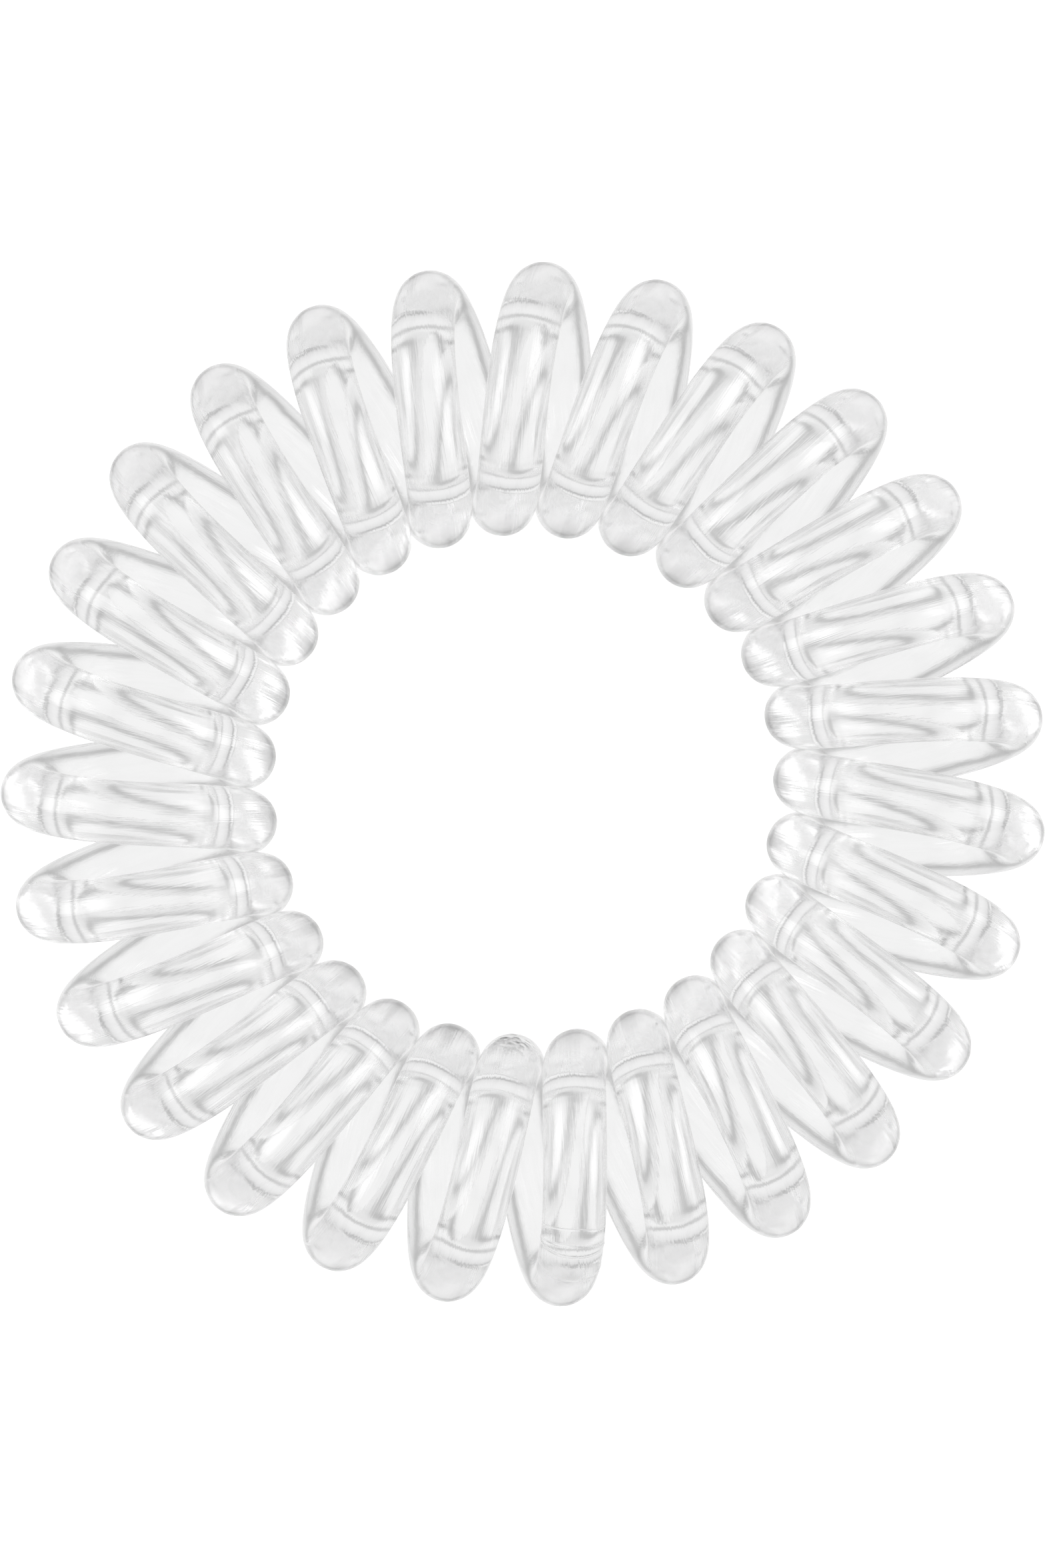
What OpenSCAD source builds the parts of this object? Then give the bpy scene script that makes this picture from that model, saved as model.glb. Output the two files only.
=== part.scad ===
// Spiral hair tie: one clear plastic cord, wound as a close coil, bent into a
// ring and welded end to end. It lies flat on Z = 0 with its ring axis on +Z.

/* [Ring] */
// Outer diameter of the relaxed ring
ring_od = 38; // [32:0.5:56]

/* [Coil] */
// Width of the coiled band, from the ring's inside to its outside
coil_w = 9.95; // [7.5:0.05:13]
// Height of the coiled band above the surface that the ring lies on
coil_h = 8; // [6.5:0.05:13]
// Least gap between neighbouring turns, which is at the ring's inside
turn_gap = 0.05; // [0.03:0.01:0.4]

/* [Cord] */
// Diameter of the cord
cord_d = 2.3; // [1.6:0.05:3.2]

/* [Weld] */
// Direction of the turn that holds the weld, seen from above and counted from +X
weld_dir = -85.5; // [-180:0.5:180]
// Where the weld lies on its turn: 0 at the outermost point, 90 on top
weld_phase = 43; // [0:1:90]
// Distance along the cord between the weld's two flash lines
weld_w = 0.9; // [0.5:0.05:2]
// Width of each flash line
flash_w = 0.1; // [0.06:0.02:0.3]
// Height of each flash line above the cord
flash_h = 0.015; // [0.01:0.005:0.1]

/* [Smoothness] */
// Sides of the cord's section
cord_sides = 12; // [10:2:12]
// Most sections that the whole cord may have
most_sections = 490; // [320:10:490]

/* [Hidden] */

// The cord's centre line loops round a circle, the coil's core
cord_r = cord_d / 2;
core_r = (ring_od - coil_w) / 2;
loop_w = (coil_w - cord_d) / 2;
loop_h = (coil_h - cord_d) / 2;

// Neighbouring turns lean, so their pitch is a little more than a cord and a gap.
// The ring holds as many turns as its inside has room for.
turn_room = cord_d + turn_gap;
turn_pitch = turn_room / sqrt(1 - pow(turn_room / (2 * PI * loop_h), 2));
turns = floor(2 * PI * (core_r - loop_w) / turn_pitch);

// Sections stand at even phases, with one at each turn's outside, top, inside and underside
sections_per_turn = 4 * floor(most_sections / turns / 4);
phase_step = 360 / sections_per_turn;

// Direction round the ring at a phase of the cord, and the unit vector that points there
function direction(phase) = weld_dir + phase / turns;
function outward(phase) = [cos(direction(phase)), sin(direction(phase)), 0];
function onward(phase) = [-sin(direction(phase)), cos(direction(phase)), 0];

// A point of the cord's centre line
function centre(phase) =
    (core_r + loop_w * cos(phase)) * outward(phase)
    + [0, 0, cord_r + loop_h * (1 + sin(phase))];

// How the centre line moves for each radian of phase
function travel(phase) =
    -loop_w * sin(phase) * outward(phase)
    + (core_r + loop_w * cos(phase)) / turns * onward(phase)
    + [0, 0, loop_h * cos(phase)];

function unit(v) = v / norm(v);

// A section of the cord, square to the centre line
function section(phase, radius) =
    let (
        away = unit(loop_h * cos(phase) * outward(phase) + [0, 0, loop_w * sin(phase)]),
        across = cross(unit(travel(phase)), away)
    )
    [
        for (i = [0 : cord_sides - 1])
            centre(phase)
            + radius * (cos(360 * i / cord_sides) * away + sin(360 * i / cord_sides) * across)
    ];

// Degrees of phase for a length of cord at the weld
function weld_degrees(length) = length / norm(travel(weld_phase)) * 180 / PI;

// Each section's phase and how far it stands proud. The weld comes first: a flash line is
// three sections, with the middle one raised.
weld_sections = [
    for (line = [-1, 1])
        for (edge = [-1, 0, 1])
            [
                weld_phase + weld_degrees(line * weld_w / 2 + edge * flash_w / 2),
                edge == 0 ? flash_h : 0
            ]
];
weld_reach = weld_degrees(weld_w / 2 + flash_w);
cord_sections = [
    for (k = [
        ceil((weld_phase + weld_reach) / phase_step)
        : floor((weld_phase - weld_reach) / phase_step) + turns * sections_per_turn
    ])
        [k * phase_step, 0]
];
sections = concat(weld_sections, cord_sections);

// The cord, closed on itself at the weld
module coil() {
    points = [for (s = sections) each section(s[0], cord_r + s[1])];
    faces = [
        for (s = [0 : len(sections) - 1])
            for (i = [0 : cord_sides - 1])
                let (
                    here = s * cord_sides,
                    next = (s + 1) % len(sections) * cord_sides,
                    j = (i + 1) % cord_sides
                )
                [here + i, next + i, next + j, here + j]
    ];
    color([0.93, 0.94, 0.95, 0.4])
        polyhedron(points = points, faces = faces, convexity = 10);
}

coil();
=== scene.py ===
import bpy
import math

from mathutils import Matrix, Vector


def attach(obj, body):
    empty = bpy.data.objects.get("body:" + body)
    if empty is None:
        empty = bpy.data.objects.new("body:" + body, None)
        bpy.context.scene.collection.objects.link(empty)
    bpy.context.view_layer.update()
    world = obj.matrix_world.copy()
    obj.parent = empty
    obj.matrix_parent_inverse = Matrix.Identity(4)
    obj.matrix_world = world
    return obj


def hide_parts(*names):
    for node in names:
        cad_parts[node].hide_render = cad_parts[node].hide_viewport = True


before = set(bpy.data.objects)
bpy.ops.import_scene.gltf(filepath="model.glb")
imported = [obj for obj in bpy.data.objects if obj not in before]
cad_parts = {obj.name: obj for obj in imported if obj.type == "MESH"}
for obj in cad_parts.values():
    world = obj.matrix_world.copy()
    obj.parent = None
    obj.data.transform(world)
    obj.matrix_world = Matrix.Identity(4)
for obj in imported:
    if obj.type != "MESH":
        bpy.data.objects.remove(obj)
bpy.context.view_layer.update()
scene = bpy.context.scene


# Camera: it looks straight down on the ring from a quarter of a metre, near enough for each
# turn's outer side to be seen a little more than its inner side. The picture is as wide as the
# ring, with bare table above and below it, and the ring is turned a quarter of a degree.
camera_distance = 0.25
picture_pixels = (1568, 2352)
picture_width = 0.03796
picture_height = picture_width * picture_pixels[1] / picture_pixels[0]
ring_offset = (0.0000484, -0.000018)
ring_turned = math.radians(0.27)
widest_height = 0.004
sensor_height = 36

camera_data = bpy.data.cameras.new("camera")
camera_data.sensor_fit = "VERTICAL"
camera_data.sensor_height = sensor_height
camera_data.lens = sensor_height * camera_distance / picture_height
camera_data.clip_start = 0.01
camera_data.clip_end = 20
camera = bpy.data.objects.new("camera", camera_data)
camera.location = (-ring_offset[0], -ring_offset[1], widest_height + camera_distance)
camera.rotation_euler = (0, 0, ring_turned)
scene.collection.objects.link(camera)
scene.camera = camera


# Coil: one round cord of clear, colourless polyurethane, drawn through a die and wound hot on a
# rod as a close left-handed coil of 27 turns. The coil is bent into a ring and its two ends are
# welded, which leaves two fine flash lines across the cord. It is set in this shape.
ring_od = 0.038
coil_w = 0.00995
coil_h = 0.008
cord_d = 0.0023
turns = 27
weld_direction = math.radians(-85.5)
weld_phase = math.radians(43)
weld_w = 0.0009
flash_w = 0.0001
flash_h = 0.000015
points_per_turn = 64
cord_sides = 48

cord_r = cord_d / 2
core_r = (ring_od - coil_w) / 2
loop_w = (coil_w - cord_d) / 2
loop_h = (coil_h - cord_d) / 2


def cord_centre(phase):
    """A point of the cord's centre line: a turn is outermost at 0 and at its top at pi / 2."""
    direction = weld_direction + phase / turns
    reach = core_r + loop_w * math.cos(phase)
    return Vector((
        reach * math.cos(direction),
        reach * math.sin(direction),
        cord_r + loop_h * (1 + math.sin(phase)),
    ))


# The points start at the weld, so that the cord's two ends meet there. Each flash line is a
# small rounded ridge with more points beside it, set wider and wider: the columns are the place
# along the cord in flash widths, and the height in flash heights.
flash_ridge = (
    (-3.8, 0),
    (-2.2, 0),
    (-1.3, 0),
    (-0.8, 0),
    (-0.5, 0),
    (-0.27, 0.6),
    (0, 1),
    (0.27, 0.6),
    (0.5, 0),
    (0.8, 0),
    (1.3, 0),
    (2.2, 0),
    (3.8, 0),
)
flash_margin = 5.5 * flash_w
small_turn = 1e-4
weld_chord = cord_centre(weld_phase + small_turn) - cord_centre(weld_phase - small_turn)
radians_per_metre = 2 * small_turn / weld_chord.length
cord_points = []
for line in (-0.5, 0.5):
    for place, height in flash_ridge:
        along = line * weld_w + place * flash_w
        cord_points.append((weld_phase + along * radians_per_metre, height * flash_h))

# The rest of the cord follows at even phases.
step = 2 * math.pi / points_per_turn
weld_reach = (weld_w / 2 + flash_margin) * radians_per_metre
first_step = math.ceil((weld_phase + weld_reach) / step)
last_step = math.floor((weld_phase - weld_reach) / step) + turns * points_per_turn
for number in range(first_step, last_step + 1):
    cord_points.append((number * step, 0))

# A round bevel has four sides, and two more for each step of its resolution.
cord_curve = bpy.data.curves.new("clear_coil", "CURVE")
cord_curve.dimensions = "3D"
cord_curve.twist_mode = "MINIMUM"
cord_curve.bevel_depth = cord_r
cord_curve.bevel_resolution = (cord_sides - 4) // 2
spline = cord_curve.splines.new("POLY")
spline.points.add(len(cord_points) - 1)
for point, (phase, proud) in zip(spline.points, cord_points):
    point.co = (*cord_centre(phase), 1)
    point.radius = 1 + proud / cord_r
spline.use_cyclic_u = True
coil = bpy.data.objects.new("clear_coil", cord_curve)
scene.collection.objects.link(coil)
bpy.ops.object.select_all(action="DESELECT")
coil.select_set(True)
bpy.context.view_layer.objects.active = coil
bpy.ops.object.convert(target="MESH")

# Clear polyurethane. The die leaves fine lines along the whole cord. They keep their place on
# the bend in every turn, so the map's angle makes up for the tube's four turns of twist. Cosine
# and sine of both angles make the pattern join at the weld and round the cord.
tube_twist = 4

clear = bpy.data.materials.new("clear_polyurethane")
clear.use_nodes = True
nodes = clear.node_tree.nodes
links = clear.node_tree.links
shader = nodes["Principled BSDF"]
shader.inputs["Base Color"].default_value = (1, 1, 1, 1)
shader.inputs["Transmission Weight"].default_value = 1
shader.inputs["IOR"].default_value = 1.5
shader.inputs["Roughness"].default_value = 0

cord_map = nodes.new("ShaderNodeUVMap")
cord_map.uv_map = "UVMap"
cord_split = nodes.new("ShaderNodeSeparateXYZ")
links.new(cord_map.outputs["UV"], cord_split.inputs["Vector"])
round_cord = nodes.new("ShaderNodeMath")
round_cord.operation = "MULTIPLY_ADD"
round_cord.inputs[1].default_value = tube_twist
links.new(cord_split.outputs["X"], round_cord.inputs[0])
links.new(cord_split.outputs["Y"], round_cord.inputs[2])
places = []
for source in (round_cord.outputs["Value"], cord_split.outputs["X"]):
    angle = nodes.new("ShaderNodeMath")
    angle.operation = "MULTIPLY"
    angle.inputs[1].default_value = 2 * math.pi
    links.new(source, angle.inputs[0])
    for operation in ("COSINE", "SINE"):
        place = nodes.new("ShaderNodeMath")
        place.operation = operation
        links.new(angle.outputs["Value"], place.inputs[0])
        places.append(place)
cord_place = nodes.new("ShaderNodeCombineXYZ")
for place, socket in zip(places, ("X", "Y", "Z")):
    links.new(place.outputs["Value"], cord_place.inputs[socket])

# Three reliefs, each as noise over the cord: slow waves, faint die marks, and sharper die lines
# where the last noise crosses its middle. The columns are the name, the scale round the cord,
# the scale along it, the noise's detail and the depth.
reliefs = (
    ("waves", 1.6, 9.5, 1, 0.00005),
    ("die_marks", 19, 2, 3, 0.000004),
    ("die_lines", 8, 1.5, 1, 0.0000024),
)
noise_roughness = 0.55
noise_middle = 0.5
die_line_width = 0.12

normal = None
for name, around, along, detail, depth in reliefs:
    stretch = nodes.new("ShaderNodeMapping")
    stretch.inputs["Scale"].default_value = (around, around, along)
    links.new(cord_place.outputs["Vector"], stretch.inputs["Vector"])
    fourth = nodes.new("ShaderNodeMath")
    fourth.operation = "MULTIPLY"
    fourth.inputs[1].default_value = along
    links.new(places[3].outputs["Value"], fourth.inputs[0])
    noise = nodes.new("ShaderNodeTexNoise")
    noise.name = name
    noise.noise_dimensions = "4D"
    noise.inputs["Scale"].default_value = 1
    noise.inputs["Detail"].default_value = detail
    noise.inputs["Roughness"].default_value = noise_roughness
    links.new(stretch.outputs["Vector"], noise.inputs["Vector"])
    links.new(fourth.outputs["Value"], noise.inputs["W"])
    height = noise.outputs["Fac"]
    if name == "die_lines":
        middle = nodes.new("ShaderNodeMath")
        middle.operation = "SUBTRACT"
        middle.inputs[1].default_value = noise_middle
        links.new(height, middle.inputs[0])
        off_middle = nodes.new("ShaderNodeMath")
        off_middle.operation = "ABSOLUTE"
        links.new(middle.outputs["Value"], off_middle.inputs[0])
        ridge = nodes.new("ShaderNodeMapRange")
        ridge.interpolation_type = "SMOOTHSTEP"
        ridge.inputs["From Max"].default_value = die_line_width
        ridge.inputs["To Min"].default_value = 1
        ridge.inputs["To Max"].default_value = 0
        links.new(off_middle.outputs["Value"], ridge.inputs["Value"])
        height = ridge.outputs["Result"]
    relief = nodes.new("ShaderNodeBump")
    relief.name = name + "_relief"
    relief.inputs["Strength"].default_value = 1
    relief.inputs["Distance"].default_value = depth
    links.new(height, relief.inputs["Height"])
    if normal:
        links.new(normal, relief.inputs["Normal"])
    normal = relief.outputs["Normal"]

# Beside the weld, one inner bend has a small wrinkled dent, pressed in as the ends were welded.
dent_place = (-0.0003, -0.0095, 0.0049)
dent_reach = 0.0013
dent_depth = 0.00022
wrinkles_per_metre = 2400

cord_room = nodes.new("ShaderNodeTexCoord")
from_dent = nodes.new("ShaderNodeVectorMath")
from_dent.operation = "DISTANCE"
from_dent.inputs[1].default_value = dent_place
links.new(cord_room.outputs["Object"], from_dent.inputs[0])
dent_fade = nodes.new("ShaderNodeMapRange")
dent_fade.interpolation_type = "SMOOTHSTEP"
dent_fade.inputs["From Max"].default_value = dent_reach
dent_fade.inputs["To Min"].default_value = 1
dent_fade.inputs["To Max"].default_value = 0
links.new(from_dent.outputs["Value"], dent_fade.inputs["Value"])
wrinkles = nodes.new("ShaderNodeTexNoise")
wrinkles.inputs["Scale"].default_value = wrinkles_per_metre
wrinkles.inputs["Detail"].default_value = 1
links.new(cord_room.outputs["Object"], wrinkles.inputs["Vector"])
dent = nodes.new("ShaderNodeMath")
dent.operation = "MULTIPLY"
links.new(dent_fade.outputs["Result"], dent.inputs[0])
links.new(wrinkles.outputs["Fac"], dent.inputs[1])
dent_relief = nodes.new("ShaderNodeBump")
dent_relief.inputs["Strength"].default_value = 1
dent_relief.inputs["Distance"].default_value = dent_depth
links.new(dent.outputs["Value"], dent_relief.inputs["Height"])
links.new(normal, dent_relief.inputs["Normal"])
links.new(dent_relief.outputs["Normal"], shader.inputs["Normal"])

coil.data.materials.clear()
coil.data.materials.append(clear)
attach(coil, "root")
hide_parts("coil")


# Table: a matt white sheet, wide enough to fill every view, lit from above by the tent. A painted
# glow, seen by the camera alone, whitens the ring's faint shadow, so it comes out white round the
# ring.
table_width = 1.2
table_height = -0.00001
table_white = 0.9
table_painted_glow = 0.3

bpy.ops.object.select_all(action="DESELECT")
bpy.ops.mesh.primitive_plane_add(size=table_width, location=(0, 0, table_height))
table = bpy.context.object
table.name = "table"
bpy.ops.object.transform_apply(location=True, rotation=True, scale=True)
table.visible_transmission = False
table.visible_glossy = False

white_sheet = bpy.data.materials.new("white_sheet")
white_sheet.use_nodes = True
nodes = white_sheet.node_tree.nodes
links = white_sheet.node_tree.links
shader = nodes["Principled BSDF"]
shader.inputs["Base Color"].default_value = (table_white, table_white, table_white, 1)
shader.inputs["Roughness"].default_value = 1
shader.inputs["Specular IOR Level"].default_value = 0
shader.inputs["Emission Color"].default_value = (1, 1, 1, 1)
# Painted glow: emission for camera rays only, which lights nothing and whitens the shade round
# the ring.
seen = nodes.new("ShaderNodeLightPath")
painted_glow = nodes.new("ShaderNodeMath")
painted_glow.operation = "MULTIPLY"
painted_glow.inputs[1].default_value = table_painted_glow
links.new(seen.outputs["Is Camera Ray"], painted_glow.inputs[0])
links.new(painted_glow.outputs["Value"], shader.inputs["Emission Strength"])
table.data.materials.append(white_sheet)


# Light tent: soft white light from all round, and from below the table too. The table's grey rims
# and the tent's dark hem draw the dark lines in the clear cord. Two broad lamps shine through the
# cloth, left and right of the picture, and give the bends a glare where they mirror them.

# The columns are the degrees above the horizon and the tent's brightness there.
tent_heights = (
    (-90, 0.9),
    (-70, 0.89),
    (-67, 0.84),
    (-63, 0.66),
    (-60, 0.48),
    (-56, 0.5),
    (-52, 0.7),
    (-47, 0.77),
    (-38, 0.82),
    (-28, 0.87),
    (-17, 0.87),
    (-12.5, 0.6),
    (-8.5, 0.6),
    (-4, 0.87),
    (1, 0.92),
    (8, 0.91),
    (11, 0.7),
    (13.5, 0.38),
    (17, 0.38),
    (20, 0.86),
    (35, 0.9),
    (45, 0.88),
    (57, 0.84),
    (61, 0.5),
    (70, 0.5),
    (74, 0.88),
    (90, 0.88),
)
lamp_way = (0.83, 0.18, 0.53)
lamp_edge = math.radians(30)
lamp_core = math.radians(12)
lamp_brightness = 0.65
lamp_glare = 2.6

world = bpy.data.worlds.new("light_tent")
scene.world = world
world.use_nodes = True
nodes = world.node_tree.nodes
links = world.node_tree.links
light = nodes["Background"]
seen = nodes.new("ShaderNodeLightPath")
look = nodes.new("ShaderNodeTexCoord")
way = nodes.new("ShaderNodeSeparateXYZ")
links.new(look.outputs["Generated"], way.inputs["Vector"])

# The cloth's ramp runs from straight down at 0 to straight up at 1.
height = nodes.new("ShaderNodeMath")
height.operation = "MULTIPLY_ADD"
height.inputs[1].default_value = 0.5
height.inputs[2].default_value = 0.5
links.new(way.outputs["Z"], height.inputs[0])
cloth = nodes.new("ShaderNodeValToRGB")
links.new(height.outputs["Value"], cloth.inputs["Fac"])
stops = cloth.color_ramp.elements
stops.remove(stops[1])
for number, (elevation, brightness) in enumerate(tent_heights):
    place = (math.sin(math.radians(elevation)) + 1) / 2
    stop = stops.new(place) if number else stops[0]
    stop.position = place
    stop.color = (brightness, brightness, brightness, 1)

# One lamp's way serves for both, because left is folded over on right.
sideways = nodes.new("ShaderNodeMath")
sideways.operation = "ABSOLUTE"
links.new(way.outputs["X"], sideways.inputs[0])
folded_way = nodes.new("ShaderNodeCombineXYZ")
links.new(sideways.outputs["Value"], folded_way.inputs["X"])
links.new(way.outputs["Y"], folded_way.inputs["Y"])
links.new(way.outputs["Z"], folded_way.inputs["Z"])
to_lamp = nodes.new("ShaderNodeVectorMath")
to_lamp.operation = "DOT_PRODUCT"
to_lamp.inputs[1].default_value = lamp_way
links.new(folded_way.outputs["Vector"], to_lamp.inputs[0])
lamps = nodes.new("ShaderNodeMapRange")
lamps.interpolation_type = "SMOOTHSTEP"
lamps.inputs["From Min"].default_value = math.cos(lamp_edge)
lamps.inputs["From Max"].default_value = math.cos(lamp_core)
lamps.inputs["To Max"].default_value = lamp_brightness
links.new(to_lamp.outputs["Value"], lamps.inputs["Value"])

# Mirrored in the cord, the lamps are brighter than seen through it.
glare = nodes.new("ShaderNodeMath")
glare.operation = "MULTIPLY_ADD"
glare.inputs[1].default_value = lamp_glare / lamp_brightness
glare.inputs[2].default_value = 1
links.new(seen.outputs["Is Reflection Ray"], glare.inputs[0])
glaring_lamps = nodes.new("ShaderNodeMath")
glaring_lamps.operation = "MULTIPLY"
links.new(lamps.outputs["Result"], glaring_lamps.inputs[0])
links.new(glare.outputs["Value"], glaring_lamps.inputs[1])
both = nodes.new("ShaderNodeMath")
both.operation = "ADD"
links.new(cloth.outputs["Color"], both.inputs[0])
links.new(glaring_lamps.outputs["Value"], both.inputs[1])
links.new(both.outputs["Value"], light.inputs["Strength"])
light.inputs["Color"].default_value = (1, 1, 1, 1)

# Behind the ring and the table, the camera sees plain white.
backdrop = nodes.new("ShaderNodeBackground")
backdrop.inputs["Color"].default_value = (1, 1, 1, 1)
choice = nodes.new("ShaderNodeMixShader")
links.new(seen.outputs["Is Camera Ray"], choice.inputs["Fac"])
links.new(light.outputs["Background"], choice.inputs[1])
links.new(backdrop.outputs["Background"], choice.inputs[2])
links.new(choice.outputs["Shader"], nodes["World Output"].inputs["Surface"])

# Light runs many times round inside a clear cord before it leaves.
cord_bounces = 48
table_bounces = 4
scene.cycles.max_bounces = cord_bounces
scene.cycles.transmission_bounces = cord_bounces
scene.cycles.glossy_bounces = cord_bounces
scene.cycles.diffuse_bounces = table_bounces
scene.cycles.blur_glossy = 0
scene.view_settings.view_transform = "Standard"
